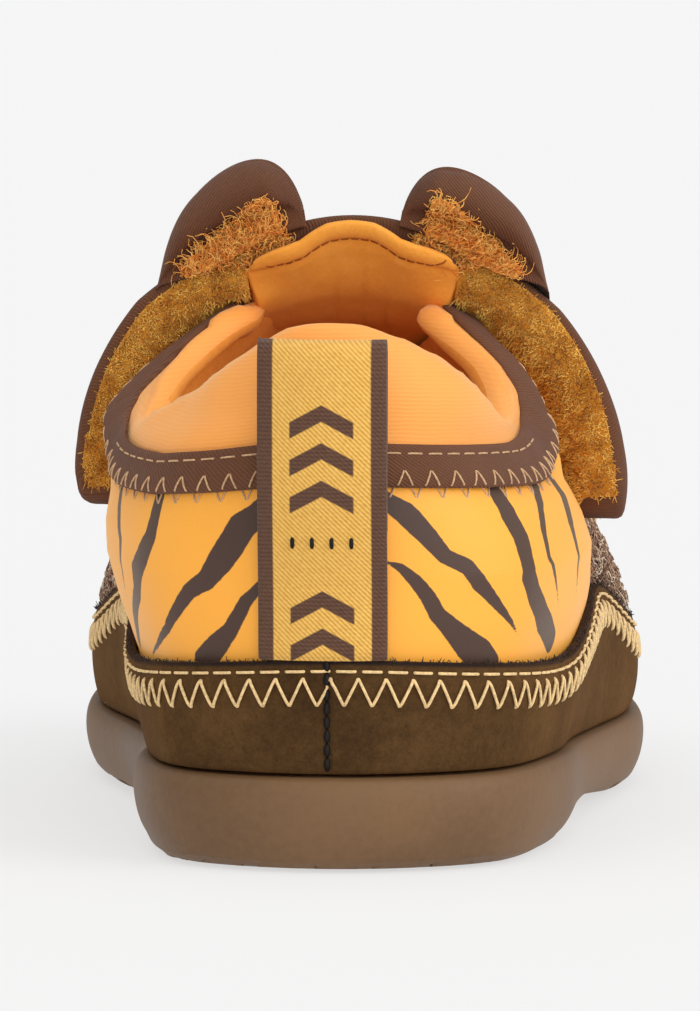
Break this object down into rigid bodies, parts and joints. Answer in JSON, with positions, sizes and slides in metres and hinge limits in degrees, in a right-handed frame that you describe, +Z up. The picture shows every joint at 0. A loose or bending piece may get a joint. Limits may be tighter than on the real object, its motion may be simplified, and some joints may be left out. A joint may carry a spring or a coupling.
{
  "type": "closed toddler shoe",
  "caption": "Low closed toddler shoe, right foot: moulded sole, hollow upper, foxing and collar bands, padded heel, pull loop, tongue flap and a padded instep strap with stuffed ears.",
  "frame": {"origin": "on the floor, under the middle of the shoe's overall box", "axes": "+Y towards the toe, +X towards the outer side of the right foot, +Z up"},
  "size_m": [0.073, 0.1592, 0.0832],
  "materials": {
    "sole_foam": "matt moulded foam rubber, tan brown",
    "lining": "matt brushed lining, orange",
    "printed_cloth": "smooth printed cloth, orange with dark stripes",
    "suede": "matt suede, olive brown",
    "ribbed_cloth": "matt fine-ribbed cloth, brown",
    "webbing": "twill webbing, ochre with brown edges"
  },
  "bodies": {
    "root": {"outsole": "sole_foam", "insole": "lining", "upper": "printed_cloth", "foxing": "suede", "collar_band": "ribbed_cloth", "pull_loop": "webbing", "tongue_flap": "lining", "strap": "ribbed_cloth", "ear_outer": "ribbed_cloth", "ear_inner": "ribbed_cloth"}
  },
  "joints": []
}
